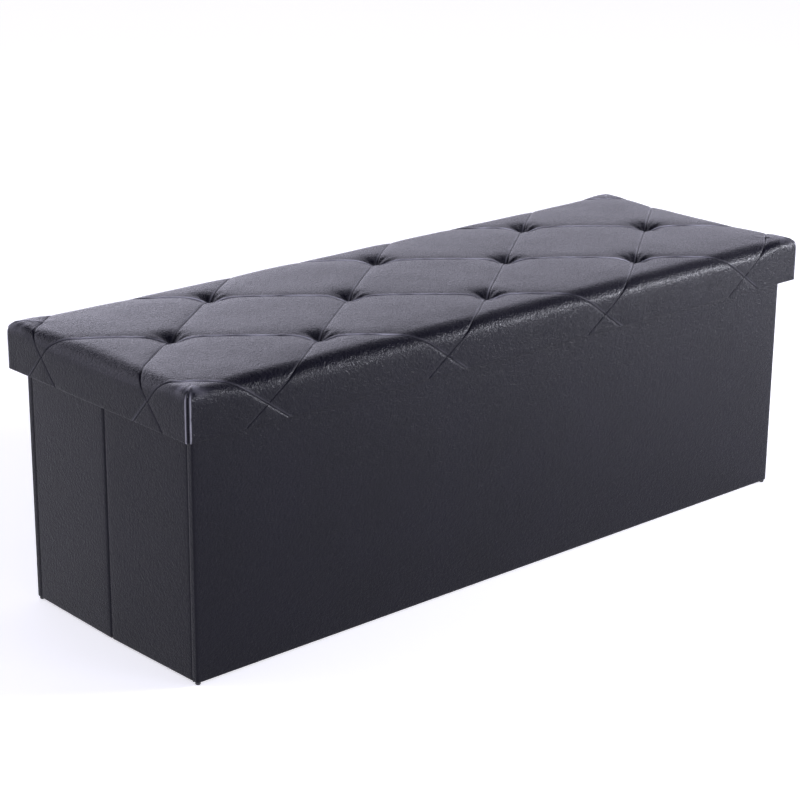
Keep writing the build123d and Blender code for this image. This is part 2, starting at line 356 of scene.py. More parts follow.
def seamHighlight(u, v):
    # how much painted highlight pales the skin: thin broken lines beside the seams, much stronger on one
    # side, a line along each corner seam and pale flecks at the corners
    s = lidCover
    offP, offQ = fromSeams(u, v)
    lineP = math.exp(-((abs(offP) - s["highlightPlace"]) / s["highlightRun"]) ** 2)
    lineP *= 1 if offP > 0 else s["highlightNear"]
    lineQ = math.exp(-((abs(offQ) - s["highlightPlace"]) / s["highlightRun"]) ** 2) * s["highlightAcross"]
    lineQ *= s["highlightFar"] if offQ > 0 else 1
    broken = min(max(0.65 + 0.9 * swell((u, v, 0), s["highlightBreak"], 13.0), 0), 1)
    overX = max(abs(u) - s["flatX"], 0) * s["endPull"]
    overY = max(abs(v) - s["flatY"], 0) * s["frontPull"]
    broken *= 1 - (1 - s["highlightSkirt"]) * min(max(overX, overY) / s["highlightFade"], 1)
    inset = s["highlightInset"]
    fromPoint = math.hypot(abs(u) - s["flatX"] - inset, abs(v) - s["flatY"] - inset)
    corner = s["highlightCorner"] * math.exp(-(fromPoint / s["highlightCornerRun"]) ** 2)
    corner *= min(max(0.4 + 1.6 * swell((u, v, 0), s["highlightFleck"], 17.0), 0), 1)
    if min(overX, overY) > s["seamStart"]:
        sideways = s["edgeRound"] * (1 - min(overX, overY) / max(overX, overY))
        line = math.exp(-((sideways - s["seamGap"]) / s["seamHighlightRun"]) ** 2)
        corner = max(corner, s["seamHighlight"] * line)
    return min(max(lineP, lineQ) * broken + corner, 1)


def lidRelief(u, v, turn):
    # height of the padding over the plain cover at a point of the flat pattern; turn is 0 on top
    s = lidCover
    top = math.cos(turn) ** 2
    offP, offQ = fromSeams(u, v)
    nearP, nearQ = abs(offP), abs(offQ)
    near = min(nearP, nearQ)
    away = min(math.hypot(u - x, v - y) for x, y in tufts)
    # panels rise away from their seams
    panel = 1 - math.exp(-(near / s["puffRun"]) ** 1.15)
    second = 1 - math.exp(-max(nearP, nearQ) / s["puffRun"])
    height = (s["puff"] * top + s["puffSkirt"] * (1 - top)) * panel * (0.6 + 0.4 * second)
    height += s["crown"] - s["puff"] * top - s["puffSkirt"] * (1 - top)
    # seams are narrow creases with one lapped edge
    crease = s["crease"] * top + s["creaseSkirt"] * (1 - top)
    for off in (offP, offQ):
        height -= crease * math.exp(-abs(off) / s["creaseRun"])
        height += s["lap"] * (0.3 + 0.7 * top) * math.exp(-((abs(off) - s["lapPlace"]) / s["lapRun"]) ** 2)
    height += s["lapFar"] * (0.3 + 0.7 * top) * math.exp(-((offP - s["lapPlace"]) / s["lapRun"]) ** 2)
    # each tuft is a deep narrow well in a shallow dish, with small folds round its rim
    height -= s["well"] * math.exp(-(away / s["wellRun"]) ** 1.7)
    height -= s["dish"] * math.exp(-away / s["dishRun"])
    if away < s["foldReach"]:
        x, y = min(tufts, key=lambda t: math.hypot(u - t[0], v - t[1]))
        angle = math.atan2(v - y, u - x)
        wave = math.cos(s["foldCount"] * angle + 4 * swell((x, y, 0), 90 * mm))
        wave += 0.6 * math.cos(5 * angle + x * 40)
        height += s["folds"] * wave * math.exp(-((away - s["foldPlace"]) / s["foldRun"]) ** 2) * 0.5
    outX, outY = s["flatX"] - abs(u), s["flatY"] - abs(v)
    corner = math.hypot(outX, outY)
    # the padding falls away before the edges, half as much at the corners
    nearEdge = math.exp(-(max(min(outX, outY), 0) / s["edgeFallRun"]) ** 1.5)
    held = math.exp(-(max(outX, outY, 0) / s["cornerRun"]) ** 2)
    height -= s["edgeFall"] * nearEdge * (1 - 0.5 * held) * top
    # the leather is drawn together in fine folds above each upright corner seam
    if corner < s["foldReach"]:
        fan = math.cos(s["gatherCount"] * math.atan2(outY, outX) + 1.3)
        height += s["gather"] * fan * math.exp(-((corner - s["gatherPlace"]) / s["gatherRun"]) ** 2)
    # gathers along the seams, and slow unevenness of the padding
    gather = math.exp(-near / s["rippleRun"])
    height += s["ripple"] * gather * swell((u, v, 0), s["rippleSize"], 3.0)
    height += s["drift"] * (0.35 + 0.65 * top) * swell((u, v, 0), s["driftSize"], 7.0)
    height += 0.3 * s["drift"] * swell((u, v, 0), s["driftFine"], 11.0)
    return height


def edgeProfile(over, radius):
    # how far out and down the leather has come, and its turn, after running this far over an edge
    full = lidCover["edgeRound"]
    flat = full - radius
    arc = radius * math.pi / 2
    fullArc = full * math.pi / 2
    run = over * (2 * flat + arc) / fullArc if over < fullArc else 2 * flat + arc + over - fullArc
    if run < flat:
        return run, 0.0, 0.0
    if run < flat + arc:
        turn = (run - flat) / radius
        return flat + radius * math.sin(turn), radius * (1 - math.cos(turn)), turn
    return full, radius + run - flat - arc, math.pi / 2


def lidPoint(u, v, extra=0.0):
    # a point of the flat pattern, folded over the lid
    s = lidCover
    overX = max(abs(u) - s["flatX"], 0) * s["endPull"]
    overY = max(abs(v) - s["flatY"], 0) * s["frontPull"]
    over = max(overX, overY)
    fromCorner = max(s["flatX"] - abs(u), 0) if overY >= overX else max(s["flatY"] - abs(v), 0)
    tight = math.exp(-(fromCorner / s["cornerRun"]) ** 2)
    out, down, turn = edgeProfile(over, s["edgeRound"] + (s["cornerEdge"] - s["edgeRound"]) * tight)
    lift = lidRelief(u, v, turn) + extra
    x, y = min(abs(u), s["flatX"]), min(abs(v), s["flatY"])
    shareX = overX / over if over > 0 else 0.0
    shareY = overY / over if over > 0 else 0.0
    lesser = min(shareX, shareY)
    if lesser > 0.3:
        # upright corner seam: a groove on the corner between two turned edges
        sideways = s["edgeRound"] * (1 - lesser)
        ridge = s["seamRidge"] * math.exp(-((sideways - s["seamGap"]) / s["seamRidgeRun"]) ** 2)
        groove = s["seamGroove"] * math.exp(-(sideways / s["seamGrooveRun"]) ** 2)
        lift += math.sin(turn) ** 3 * (ridge - groove)
    reach = out + lift * math.sin(turn)
    x += reach * shareX
    y += reach * shareY
    z = coverHigh.z - down + lift * math.cos(turn)
    cornerRound = s["cornerSkirt"] + (s["cornerTop"] - s["cornerSkirt"]) * math.cos(turn)
    awayX = x - (s["flatX"] + reach - cornerRound)
    awayY = y - (s["flatY"] + reach - cornerRound)
    if awayX > 0 and awayY > 0:
        pull = max(awayX, awayY) / math.hypot(awayX, awayY) - 1
        x += awayX * pull
        y += awayY * pull
    return Vector((math.copysign(x, u), math.copysign(y, v), z))


def lidPattern(cuts):
    # the flat pattern as a grid whose rows follow the diagonal seams and crowd together at them
    s = lidCover
    endU = s["flatX"] + s["drop"] / s["endPull"]
    endV = s["flatY"] + s["drop"] / s["frontPull"]
    reach = math.ceil((endU / s["stepX"] + endV / s["stepY"] + 1) / 2) * 2 - 1
    count = reach * cuts
    shape = bmesh.new()
    bmesh.ops.create_grid(shape, x_segments=count, y_segments=count, size=1.0)

    def eased(t):
        place = (t + 1) / 2 * reach
        whole = math.floor(place + 1e-9)
        part = place - whole
        part -= s["cutEase"] * math.sin(2 * math.pi * part) / (2 * math.pi)
        return -reach + 2 * (whole + part)

    for vert in shape.verts:
        p, q = eased(vert.co.x), eased(vert.co.y)
        vert.co = Vector(((p + q) / 2 * s["stepX"], (p - q) / 2 * s["stepY"], 0))
    for axis, limit in ((0, endU), (1, endV)):
        for side in (-1, 1):
            normal = Vector((side if axis == 0 else 0, side if axis == 1 else 0, 0))
            geometry = shape.verts[:] + shape.edges[:] + shape.faces[:]
            bmesh.ops.bisect_plane(shape, geom=geometry, dist=1e-6, plane_co=normal * limit,
                                   plane_no=normal, clear_outer=True)
    # rows along the corner seams, fanned from the corners of the flat top
    shares = s["fanShares"]
    fan = [*shares, 1.0, *(1 / share for share in reversed(shares))]
    for sideX in (-1, 1):
        for sideY in (-1, 1):
            corner = Vector((sideX * s["flatX"], sideY * s["flatY"], 0))
            for share in fan:
                faces = [f for f in shape.faces if all(
                    sideX * v.co.x > s["flatX"] - s["fanReach"]
                    and sideY * v.co.y > s["flatY"] - s["fanReach"] for v in f.verts)]
                edges = {e for f in faces for e in f.edges}
                verts = {v for f in faces for v in f.verts}
                along = Vector((sideX / s["endPull"], sideY * share / s["frontPull"], 0))
                normal = along.cross(Vector((0, 0, 1)))
                bmesh.ops.bisect_plane(shape, geom=list(verts) + list(edges) + faces, dist=1e-6,
                                       plane_co=corner, plane_no=normal)
    bmesh.ops.triangulate(shape, faces=[f for f in shape.faces if len(f.verts) > 4])
    return shape


def makeLidCover():
    s = lidCover
    shape = lidPattern(s["cellCuts"])
    # each point keeps how much painted highlight pales its skin
    paintedHighlight = shape.verts.layers.float.new("paintedHighlight")
    for vert in shape.verts:
        vert[paintedHighlight] = seamHighlight(vert.co.x, vert.co.y)
        vert.co = lidPoint(vert.co.x, vert.co.y)
    bmesh.ops.recalc_face_normals(shape, faces=shape.faces)
    # the skirt turns under its rail and up inside it
    turnUnder = ((0.9 * mm, -0.6 * mm), (2.2 * mm, -0.3 * mm))
    turnUp = ((s["hem"] - 3.5 * mm, 0), (0.9 * mm, 0.6 * mm), (0, s["hemRise"]))
    for move, rise in turnUnder + turnUp:
        rim = [e for e in shape.edges if e.is_boundary]
        made = bmesh.ops.extrude_edge_only(shape, edges=rim)["geom"]
        verts = [g for g in made if isinstance(g, bmesh.types.BMVert)]
        for vert in verts:
            vert[paintedHighlight] = 0
        farX = max(abs(v.co.x) for v in verts)
        farY = max(abs(v.co.y) for v in verts)
        bmesh.ops.scale(shape, verts=verts, vec=Vector((1 - move / farX, 1 - move / farY, 1)))
        bmesh.ops.translate(shape, verts=verts, vec=Vector((0, 0, rise)))
    bmesh.ops.recalc_face_normals(shape, faces=shape.faces)
    piece = addPiece("lid_leather", shape, "lid", "black_leather", ["lid_cover"], 1, s["thickness"])
    return piece


def makeLidFoam():
    # the pad that fills the cover down to the board, pressed in at every tuft
    s = lidCover
    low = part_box("lid_foam")[0]
    shape = lidPattern(s["foamCuts"])
    for vert in shape.verts:
        vert.co = lidPoint(vert.co.x, vert.co.y, -s["thickness"] - s["foamEase"])
    geometry = shape.verts[:] + shape.edges[:] + shape.faces[:]
    bmesh.ops.bisect_plane(shape, geom=geometry, dist=1e-6, plane_co=Vector((0, 0, low.z)),
                           plane_no=Vector((0, 0, 1)), clear_inner=True)
    bmesh.ops.holes_fill(shape, edges=[e for e in shape.edges if e.is_boundary], sides=0)
    bmesh.ops.triangulate(shape, faces=[f for f in shape.faces if len(f.verts) > 4])
    bmesh.ops.recalc_face_normals(shape, faces=shape.faces)
    piece = addPiece("lid_foam_pad", shape, "lid", "foam", ["lid_foam"])
    return piece


makeLidCover()
makeLidFoam()
print("lid cover and foam made")


wallCover = {
    "edge": 2.4 * mm, "edgeSegments": 3, "thickness": 1.0 * mm,
    "step": 40 * mm, "rim": 12 * mm, "foldRim": 16 * mm,
    "pillow": 0.8 * mm, "pillowRun": 14 * mm, "wave": 0.5 * mm, "waveSize": 180 * mm,
    "groove": 1.6 * mm, "grooveRun": 1.6 * mm, "notch": 2.6 * mm, "notchDepth": 2.6 * mm,
    "foldRows": (0.7 * mm, 1.5 * mm, 2.6 * mm, 4.5 * mm, 6 * mm, 8 * mm), "foldHold": 4 * mm,
    "foldFade": 10 * mm, "bowAngle": 1.2, "bowStart": 6 * mm,   # end walls lean out towards their fold
}


def pillowHeight(place, low, high, axes):
    # thin padding: rises from the edges of a panel, with slow waves in the leather
    s = wallCover
    edge = min(min(place[a] - low[a], high[a] - place[a]) for a in axes)
    rise = 1 - math.exp(-max(edge, 0) / s["pillowRun"])
    return rise * (s["pillow"] + s["wave"] * swell(place, s["waveSize"], 5.0))


def makeLongCover(name, node, body, side):
    # leather round a long wall board: outside, ends, top and bottom; side is -1 at the front
    s = wallCover
    low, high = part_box(node)
    shape = boxShape(low, high)
    inner = [f for f in shape.faces if f.normal.y * side < -0.9]
    bmesh.ops.delete(shape, geom=inner, context="FACES")
    edges = [e for e in shape.edges if not e.is_boundary]
    roundEdges(shape, edges, s["edge"], s["edgeSegments"])
    cutAcross(shape, 0, rowPlaces(low.x, high.x, s["rim"], s["step"]))
    cutAcross(shape, 2, rowPlaces(low.z, high.z, s["rim"], s["step"]))
    outer = low.y if side < 0 else high.y
    for vert in shape.verts:
        if abs(vert.co.y - outer) < 0.1 * mm:
            vert.co.y += side * pillowHeight(vert.co, low, high, (0, 2))
    bmesh.ops.recalc_face_normals(shape, faces=shape.faces)
    turned = [f for f in shape.faces if abs(f.normal.y) > 0.9 and f.normal.y * side < 0]
    if turned:
        bmesh.ops.reverse_faces(shape, faces=shape.faces)
    piece = addPiece(name, shape, body, "black_leather", [node], 2, s["thickness"])
    return piece


makeLongCover("front_leather", "front_cover", "front_wall", -1)
makeLongCover("back_leather", "back_cover", "back_wall", 1)


def makeEndCover(side):
    # one leather over both halves of an end wall, creased at the fold; side is -1 at the left
    s = wallCover
    word = "left" if side < 0 else "right"
    front, back = word + "_front_cover", word + "_back_cover"
    frontLow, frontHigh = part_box(front)
    backLow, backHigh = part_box(back)
    boardLow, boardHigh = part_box(word + "_front_board")
    slope = math.tan(math.radians(s["bowAngle"]))
    bow = slope * (boardHigh.y - boardLow.y)
    outer = max(abs(frontLow.x), abs(frontHigh.x)) - bow
    innerX = min(abs(frontLow.x), abs(frontHigh.x))
    low = Vector((min(side * outer, side * innerX), frontLow.y, frontLow.z))
    high = Vector((max(side * outer, side * innerX), backHigh.y, backHigh.z))
    shape = boxShape(low, high)
    inner = [f for f in shape.faces if f.normal.x * side < -0.9]
    bmesh.ops.delete(shape, geom=inner, context="FACES")
    edges = [e for e in shape.edges if not e.is_boundary]
    roundEdges(shape, edges, s["edge"], s["edgeSegments"])
    near = [0.0] + [m * k for k in s["foldRows"] for m in (-1, 1)]
    cutAcross(shape, 1, near + evenPlaces(low.y + s["rim"], -s["rim"], s["step"])
              + [low.y + s["rim"], -s["foldRim"]]
              + evenPlaces(s["rim"], high.y - s["rim"], s["step"]) + [s["foldRim"], high.y - s["rim"]])
    cutAcross(shape, 2, rowPlaces(low.z, high.z, s["rim"], s["step"]))
    cutAcross(shape, 2, [low.z + s["notchDepth"], high.z - s["notchDepth"]])
    edgeX = side * outer
    for vert in shape.verts:
        if abs(vert.co.x - edgeX) < 0.1 * mm:
            along = Vector((vert.co.x, abs(vert.co.y), vert.co.z))
            rise = pillowHeight(vert.co, low, high, (1, 2)) * (1 - math.exp(-along.y / s["foldFade"]))
            rise -= s["groove"] * math.exp(-(along.y / s["grooveRun"]) ** 1.5)
            vert.co.x += side * rise
    # the turned-in edges stop short of the fold, so that they don't bunch up in it
    gap = [f for f in shape.faces if abs(f.calc_center_median().y) < s["notch"]
           and not low.z + s["notchDepth"] < f.calc_center_median().z < high.z - s["notchDepth"]]
    bmesh.ops.delete(shape, geom=gap, context="FACES")
    for vert in shape.verts:
        vert.co.x += side * slope * (high.y - s["bowStart"] - abs(vert.co.y))
    bmesh.ops.recalc_face_normals(shape, faces=shape.faces)
    turned = [f for f in shape.faces if abs(f.normal.x) > 0.9 and f.normal.x * side < 0]
    if turned:
        bmesh.ops.reverse_faces(shape, faces=shape.faces)
    middle = (low.z + high.z) / 2
    hinge = (word + "_front_half", word + "_back_half",
             (edgeX, -s["foldHold"], middle), (edgeX, s["foldHold"], middle))
    piece = addPiece(word + "_end_leather", shape, hinge, "black_leather", [front, back, word + "_fold_tape"],
                     2, s["thickness"])
    return piece


makeEndCover(-1)
makeEndCover(1)
print("wall covers made")


panelLining = {
    "edge": 0.2 * mm, "rim": 6 * mm, "step": 45 * mm,
    "rise": 0.1 * mm, "riseRun": 9 * mm, "wave": 0.04 * mm, "waveSize": 60 * mm,
    "baseStep": 18 * mm, "baseWave": 0.05 * mm, "baseWaveSize": 30 * mm, "baseThickness": 0.25 * mm,
    "notchDepth": 22 * mm,   # the finger notch in the base
    "lidStep": 14 * mm, "lidWave": 0.1 * mm, "lidWaveSize": 70 * mm, "lidThickness": 0.4 * mm,
    "lidLift": 0.12 * mm, "rail": 9 * mm,
}


def glueOver(axis, low, high, inward):
    # cloth as a thin pad on the inside of a board, its edges turned in; inward is the sign it faces
    s = panelLining
    shape = boxShape(low, high)
    roundEdges(shape, shape.edges[:], s["edge"], 2)
    for across in (1 - axis, 2):
        cutAcross(shape, across, rowPlaces(low[across], high[across], s["rim"], s["step"]))
    face = high[axis] if inward > 0 else low[axis]
    for vert in shape.verts:
        if abs(vert.co[axis] - face) < 0.01 * mm:
            edge = min(min(vert.co[a] - low[a], high[a] - vert.co[a]) for a in (1 - axis, 2))
            rise = s["rise"] * (1 - math.exp(-max(edge, 0) / s["riseRun"]))
            vert.co[axis] += inward * (rise + s["wave"] * swell(vert.co, s["waveSize"], 2.0))
    return shape


def layLining(node, body, shape):
    piece = addPiece(node + "_cloth", shape, body, "lining_cloth", [node], 1)
    return piece


def makeWallLining(node, body, inward):
    low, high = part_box(node)
    shape = glueOver(1, low, high, inward)
    return layLining(node, body, shape)


def makeEndLining(node, body, side):
    # half an end wall, which leans out towards the fold
    low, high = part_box(node)
    slope = math.tan(math.radians(wallCover["bowAngle"]))
    inner = min(abs(low.x), abs(high.x))
    outer = max(abs(low.x), abs(high.x)) - slope * (high.y - low.y)
    plainLow = Vector((min(side * inner, side * outer), low.y, low.z))
    plainHigh = Vector((max(side * inner, side * outer), high.y, high.z))
    shape = glueOver(0, plainLow, plainHigh, -side)
    farY = max(abs(low.y), abs(high.y))
    for vert in shape.verts:
        vert.co.x += side * slope * (farY - abs(vert.co.y))
    return layLining(node, body, shape)


def clothGrid(low, high, step, extraX=(), extraY=()):
    # a flat grid between two corners, with extra rows at given places
    shape = bmesh.new()
    bmesh.ops.create_grid(shape, x_segments=1, y_segments=1, size=0.5)
    bmesh.ops.scale(shape, verts=shape.verts, vec=Vector((high.x - low.x, high.y - low.y, 1)))
    middle = (low + high) / 2
    bmesh.ops.translate(shape, verts=shape.verts, vec=Vector((middle.x, middle.y, 0)))
    cutAcross(shape, 0, evenPlaces(low.x, high.x, step) + list(extraX))
    cutAcross(shape, 1, evenPlaces(low.y, high.y, step) + list(extraY))
    return shape


def makeBaseLining():
    # cloth glued on the base board, cut out at the finger notch
    s = panelLining
    low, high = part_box("base_lining")
    strapLow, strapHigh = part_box("base_pull_strap")
    notchX = (strapLow.x, strapHigh.x)
    notchY = high.y - s["notchDepth"]
    shape = clothGrid(low, high, s["baseStep"], notchX, (notchY,))
    notch = [f for f in shape.faces if notchX[0] < f.calc_center_median().x < notchX[1]
             and f.calc_center_median().y > notchY]
    bmesh.ops.delete(shape, geom=notch, context="FACES")
    for vert in shape.verts:
        vert.co.z = high.z - s["baseWave"] + s["baseWave"] * swell(vert.co, s["baseWaveSize"], 4.0)
    piece = addPiece("base_lining_cloth", shape, "base", "lining_cloth", ["base_lining"],
                     0, s["baseThickness"])
    return piece


def makeLidLining():
    # cloth glued under the lid board, inside the rails
    s = panelLining
    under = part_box("lid_lining")[0].z
    rail = Vector((s["rail"], s["rail"], 0))
    boardLow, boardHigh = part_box("lid_board")
    low, high = boardLow + rail, boardHigh - rail
    shape = clothGrid(low, high, s["lidStep"])
    for vert in shape.verts:
        vert.co.z = under + s["lidLift"] + s["lidWave"] * swell(vert.co, s["lidWaveSize"], 6.0)
    piece = addPiece("lid_lining_cloth", shape, "lid", "lining_cloth", ["lid_lining"],
                     1, s["lidThickness"], 1.0)
    return piece


makeWallLining("front_lining", "front_wall", 1)
makeWallLining("back_lining", "back_wall", -1)
for word, side in (("left", -1), ("right", 1)):
    for half in ("front", "back"):
        makeEndLining(word + "_" + half + "_lining", word + "_" + half + "_half", side)
makeBaseLining()
makeLidLining()
print("linings made")


hingeTape = {
    "leg": 16 * mm, "bend": 3.5 * mm, "thickness": 0.3 * mm, "step": 30 * mm, "lift": 0.08 * mm,
    "hold": 3 * mm, "wave": 0.03 * mm, "waveSize": 25 * mm,
    "endRows": (0, 1 * mm, 2 * mm, 3 * mm, 4 * mm, 5 * mm, 7 * mm, 10 * mm), "endLeg": 20 * mm,
    "looseRows": (0.5 * mm, 4 * mm, 8 * mm, 13 * mm),   # the end wall's half of the open corner
    "baseLeg": 13 * mm, "baseThickness": 0.28 * mm, "baseClear": 0.04 * mm,
}


def stripAlong(path, axis, places, wave):
    # a strip swept along x or z: path gives the points across it, places the stations along it
    shape = bmesh.new()
    start = places[0]
    row = [shape.verts.new((a, b, start) if axis == 2 else (start, a, b)) for a, b in path]
    edges = [shape.edges.new(pair) for pair in zip(row, row[1:])]
    along = Vector((0, 0, 1) if axis == 2 else (1, 0, 0))
    for here, ahead in zip(places, places[1:]):
        edges = pullRim(shape, edges, along * (ahead - here))
    for vert in shape.verts:
        across = Vector((1, 1, 0) if axis == 2 else (0, 1, 0))
        vert.co += across * wave * swell(vert.co, hingeTape["waveSize"], 9.0)
    bmesh.ops.recalc_face_normals(shape, faces=shape.faces)
    return shape


def cornerPath(cornerX, cornerY, signX, signY, parts):
    # an L round an inside corner: along the long wall, a bend, along the end wall
    s = hingeTape
    steps = []
    if "wall" in parts:
        steps += [(s["leg"], 0), (s["leg"] * 0.6, 0), (s["bend"], 0)]
    if "bend" in parts:
        steps += [(s["bend"] * (1 - math.sin(a)), s["bend"] * (1 - math.cos(a))) for a in (0.4, 0.8, 1.2)]
    if "end" in parts:
        steps += [(0, s["bend"] + row) for row in s["endRows"]] + [(0, s["endLeg"])]
    return [(cornerX + signX * a, cornerY + signY * b) for a, b in steps]


def makeCornerTape(word, half, joined):
    # cloth tape inside an upright corner, glued to the linings of both walls
    s = hingeTape
    node = word + "_" + half + "_corner_tape"
    low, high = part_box(node)
    signX = 1 if word == "left" else -1
    signY = 1 if half == "front" else -1
    wall = half + "_wall"
    panel = word + "_" + half + "_half"
    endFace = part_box(word + "_" + half + "_lining")
    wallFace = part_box(half + "_lining")
    cornerX = -signX * (min(abs(endFace[0].x), abs(endFace[1].x)) - s["lift"] - s["thickness"])
    cornerY = -signY * (min(abs(wallFace[0].y), abs(wallFace[1].y)) - s["lift"] - s["thickness"])
    pivotY = -signY * pivotPlace
    middle = (low.z + high.z) / 2
    places = [low.z] + evenPlaces(low.z, high.z, s["step"]) + [high.z]
    parts = ("wall", "bend", "end") if joined else ("wall", "bend")
    path = cornerPath(cornerX, cornerY, signX, signY, parts)
    start = (cornerX, pivotY - signY * s["hold"], middle)
    end = (cornerX, pivotY + signY * s["hold"], middle)
    piece = addPiece(node + "_cloth", stripAlong(path, 2, places, s["wave"]),
                     (wall, panel, start, end) if joined else wall, "tape_cloth", [node],
                     0, s["thickness"], 0.0)
    if not joined:
        loose = [(cornerX, pivotY + signY * row) for row in s["looseRows"]]
        piece = addPiece(panel + "_tape_cloth", stripAlong(loose, 2, places, s["wave"]), panel,
                         "tape_cloth", (), 0, s["thickness"], 0.0)


def makeBaseTape():
    # cloth tape from the foot of the front wall on to the base board
    s = hingeTape
    low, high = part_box("base_hinge_tape")
    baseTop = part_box("base_lining")[1].z
    wallY = low.y + 0.2 * mm
    legZ = baseTop + s["baseClear"] + s["baseThickness"] / 2
    path = [(wallY, high.z + rise) for rise in (2 * mm, -2 * mm, -6 * mm)]
    path += [(wallY, legZ + 1.2 * mm), (wallY + 0.25 * mm, legZ + 0.45 * mm)]
    path += [(wallY + out, legZ) for out in (0.7 * mm, 2 * mm, 5 * mm, s["baseLeg"])]
    places = [low.x] + evenPlaces(low.x, high.x, s["step"]) + [high.x]
    shape = stripAlong(path, 0, places, 0)
    ends = ((0, wallY, legZ + 1.0 * mm), (0, wallY + 0.8 * mm, legZ))
    piece = addPiece("base_hinge_tape_cloth", shape, ("front_wall", "base") + ends, "tape_cloth",
                     ["base_hinge_tape"], 0, s["baseThickness"], 0.0)
    return piece


pullStrap = {
    "edge": 0.3 * mm, "step": 4 * mm, "sideRows": (1.2 * mm, 2.2 * mm, 5 * mm),
    "selvedge": 0.25, "selvedgeRun": 1.2 * mm,
    "bow": 0.35 * mm, "rib": 0.06 * mm, "ribSize": 1.1 * mm, "sway": 0.4 * mm, "swaySize": 45 * mm,
}


def makePullStrap():
    # webbing stretched across the finger notch, its edges a little thicker, bowed by its own stiffness
    s = pullStrap
    low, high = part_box("base_pull_strap")
    shape = boxShape(low, high)
    roundEdges(shape, shape.edges[:], s["edge"], 2)
    cutAcross(shape, 0, evenPlaces(low.x, high.x, s["step"]))
    cutAcross(shape, 1, [low.y + row for row in s["sideRows"]] + [high.y - row for row in s["sideRows"]])
    middle = (low + high) / 2
    for vert in shape.verts:
        t = (vert.co.x - middle.x) / (high.x - middle.x)
        fromEdge = min(vert.co.y - low.y, high.y - vert.co.y)
        vert.co.z += (vert.co.z - middle.z) * s["selvedge"] * math.exp(-(fromEdge / s["selvedgeRun"]) ** 2)
        vert.co.z += s["bow"] * (1 - t * t) + s["rib"] * math.sin(vert.co.x / s["ribSize"])
        vert.co.y += s["sway"] * swell(vert.co, s["swaySize"], 1.0)
    piece = addPiece("base_strap_webbing", shape, "base", "strap_webbing", ["base_pull_strap"])
    return piece


tuftCord = {
    "strand": 0.55 * mm, "lay": 0.5 * mm,   # radius of a strand, and of the twist
    "turn": 0.9, "steps": 22, "inset": 0.4 * mm,
}


def makeTuftCords():
    # one waxed cord through the board at each tuft: two strands twisted round each other
    s = tuftCord
    low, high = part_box("lid_tuft_cords")
    rise = (high.z - low.z - 2 * s["inset"]) / s["steps"]
    shape = bmesh.new()
    for x, y in tufts:
        for strand in (0, math.pi):
            centres = [Vector((x + s["lay"] * math.cos(strand + i * s["turn"]),
                               y + s["lay"] * math.sin(strand + i * s["turn"]),
                               low.z + s["inset"] + i * rise)) for i in range(s["steps"] + 1)]
            place = Matrix.Translation(centres[0]) @ Matrix.Rotation(math.radians(30), 4, "Z")
            ring = bmesh.ops.create_circle(shape, segments=6, radius=s["strand"], matrix=place)["verts"]
            rim = [shape.edges.get(pair) for pair in zip(ring, ring[1:] + ring[:1])]
            for here, ahead in zip(centres, centres[1:]):
                rim = pullRim(shape, rim, ahead - here)
    bmesh.ops.holes_fill(shape, edges=[e for e in shape.edges if e.is_boundary], sides=6)
    bmesh.ops.recalc_face_normals(shape, faces=shape.faces)
    return addPiece("lid_tuft_ties", shape, "lid", "tuft_cord", ["lid_tuft_cords"])


glide = {
    # outline of the foot, as shares of its radius and height
    "outline": ((0, 0), (0.55, 0), (0.8, 0.1), (0.95, 0.3), (1, 0.55), (0.97, 0.8), (0.86, 0.92), (0.86, 1)),
    "steps": 24,
}


def makeGlides(node, body):
    # moulded glides: a flat foot with a rounded rim, turned about an upright line; its poles are merged
    low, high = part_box(node)
    radius = (high.y - low.y) / 2
    y = (low.y + high.y) / 2
    shape = bmesh.new()
    for x in (low.x + radius, high.x - radius):
        verts = [shape.verts.new((x + out * radius, y, low.z + up * (high.z - low.z)))
                 for out, up in glide["outline"]]
        edges = [shape.edges.new(pair) for pair in zip(verts, verts[1:])]
        bmesh.ops.spin(shape, geom=verts + edges, cent=(x, y, 0), axis=(0, 0, 1), angle=2 * math.pi,
                       steps=glide["steps"], use_merge=True, use_duplicate=False)
    bmesh.ops.remove_doubles(shape, verts=shape.verts, dist=0.001 * mm)
    bmesh.ops.recalc_face_normals(shape, faces=shape.faces)
    return addPiece(node + "_moulded", shape, body, "glide_plastic", [node], 1)


joints = {joint["name"]: joint for joint in frame["record"]["behaviour"]["joints"]}
pivotPlace = abs(joints["wall_fold"]["pos_m"][1])   # how far from the middle the corner hinges are
makeCornerTape("left", "front", True)
makeCornerTape("left", "back", True)
makeCornerTape("right", "front", True)
makeCornerTape("right", "back", False)
makeBaseTape()
makePullStrap()
makeTuftCords()
makeGlides("front_glides", "front_wall")
makeGlides("back_glides", "back_wall")
print("tapes, strap, cords and glides made")


studio = {
    "floorSize": 60.0, "floorColour": "#f6f6f7",
    "camera": {"place": (-1.961, -2.121, 1.175), "down": 18.61, "turn": 41.97, "roll": 0.46, "lens": 99.2},
    "world": 1.45, "wallTop": 0.435, "ceiling": 0.60,
    "wallColour": (1.0, 0.98, 1.18, 1), "ceilingColour": (0.04, 0.04, 0.07, 1),
    "brightSide": (-0.743, 0.669, 0.0), "brightGain": 1.6,
    "floorGlow": 0.47,
    "boxes": {   # place, aim, width and height, power and colour
        "rightBox": ((2.4, -1.75, 0.9), (0.3, -0.15, 0.3), (0.9, 0.5), 92, (0.9, 0.91, 1.0)),
        "frontBox": ((0.6, -2.4, 0.85), (-0.3, -0.15, 0.3), (0.9, 0.4), 9, (0.9, 0.91, 1.0)),
        "backBox": ((-2.3, 1.6, 2.2), (-2.5, 1.8, 0.0), (1.2, 1.2), 20, (1.0, 1.0, 1.0)),
    },
}


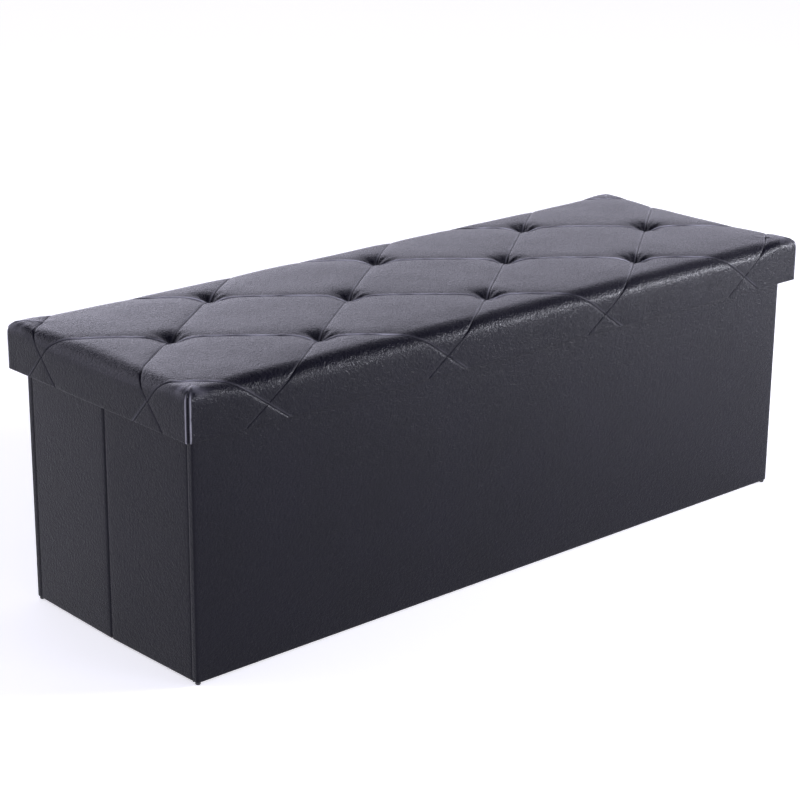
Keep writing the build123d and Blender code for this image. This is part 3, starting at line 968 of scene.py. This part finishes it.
def makeFloor():
    shape = bmesh.new()
    bmesh.ops.create_grid(shape, x_segments=1, y_segments=1, size=studio["floorSize"] / 2)
    mesh = bpy.data.meshes.new("floor")
    shape.to_mesh(mesh)
    shape.free()
    floor = bpy.data.objects.new("floor", mesh)
    bpy.context.scene.collection.objects.link(floor)
    material, tree, surface = newMaterial("studioPaper", {
        "Base Color": sRgb(studio["floorColour"]), "Roughness": 0.9, "Specular IOR Level": 0.0,
        "Emission Color": (1, 1, 1, 1), "Emission Strength": studio["floorGlow"]})
    mesh.materials.append(material)


def addSoftbox(name, place, aim, size, power, colour):
    # a large area light that points at a place
    lamp = bpy.data.lights.new(name, "AREA")
    lamp.shape = "RECTANGLE"
    lamp.size, lamp.size_y = size
    lamp.energy = power
    lamp.color = colour
    light = bpy.data.objects.new(name, lamp)
    bpy.context.scene.collection.objects.link(light)
    light.location = place
    light.rotation_euler = (Vector(aim) - Vector(place)).to_track_quat("-Z", "Y").to_euler()


def makeCamera():
    s = studio["camera"]
    lens = bpy.data.cameras.new("camera")
    lens.lens = s["lens"]
    lens.clip_end = 100
    camera = bpy.data.objects.new("camera", lens)
    bpy.context.scene.collection.objects.link(camera)
    level = Euler((math.radians(90 - s["down"]), 0, math.radians(-s["turn"]))).to_matrix()
    camera.rotation_euler = (level @ Matrix.Rotation(math.radians(s["roll"]), 3, "Z")).to_euler()
    camera.location = s["place"]
    bpy.context.scene.camera = camera


def makeWorld():
    world = bpy.data.worlds.new("studio")
    bpy.context.scene.world = world
    world.use_nodes = True
    tree = world.node_tree
    tree.nodes.clear()
    # pale walls all round up to a dark ceiling
    place = addNode(tree, "ShaderNodeTexCoord")
    split = addNode(tree, "ShaderNodeSeparateXYZ", links={"Vector": (place, "Generated")})
    height = addNode(tree, "ShaderNodeMapRange", {"interpolation_type": "SMOOTHSTEP"},
                     {"From Min": studio["wallTop"], "From Max": studio["ceiling"],
                      "To Min": 0.0, "To Max": 1.0},
                     {"Value": (split, "Z")})
    # the wall grows brighter towards one side, like a window beyond the left end
    side = addNode(tree, "ShaderNodeVectorMath", {"operation": "DOT_PRODUCT"}, {1: studio["brightSide"]},
                   {0: (place, "Generated")})
    gain = addNode(tree, "ShaderNodeMapRange", {"interpolation_type": "SMOOTHSTEP"},
                   {"From Min": 0.0, "From Max": 0.18, "To Min": 1.0, "To Max": studio["brightGain"]},
                   {"Value": (side, "Value")})
    wall = addNode(tree, "ShaderNodeVectorMath", {"operation": "SCALE"}, {0: studio["wallColour"][:3]},
                   {"Scale": (gain, "Result")})
    shade = addNode(tree, "ShaderNodeMix", {"data_type": "RGBA"},
                    {"B": studio["ceilingColour"]}, {"Factor": (height, "Result"), "A": (wall, "Vector")})
    glow = addNode(tree, "ShaderNodeBackground", None, {"Strength": studio["world"]},
                   {"Color": (shade, "Result")})
    addNode(tree, "ShaderNodeOutputWorld", links={"Surface": (glow, "Background")})


makeFloor()
makeCamera()
makeWorld()
for name, box in studio["boxes"].items():
    addSoftbox(name, *box)
bpy.context.scene.view_settings.view_transform = "Standard"
print("studio made")
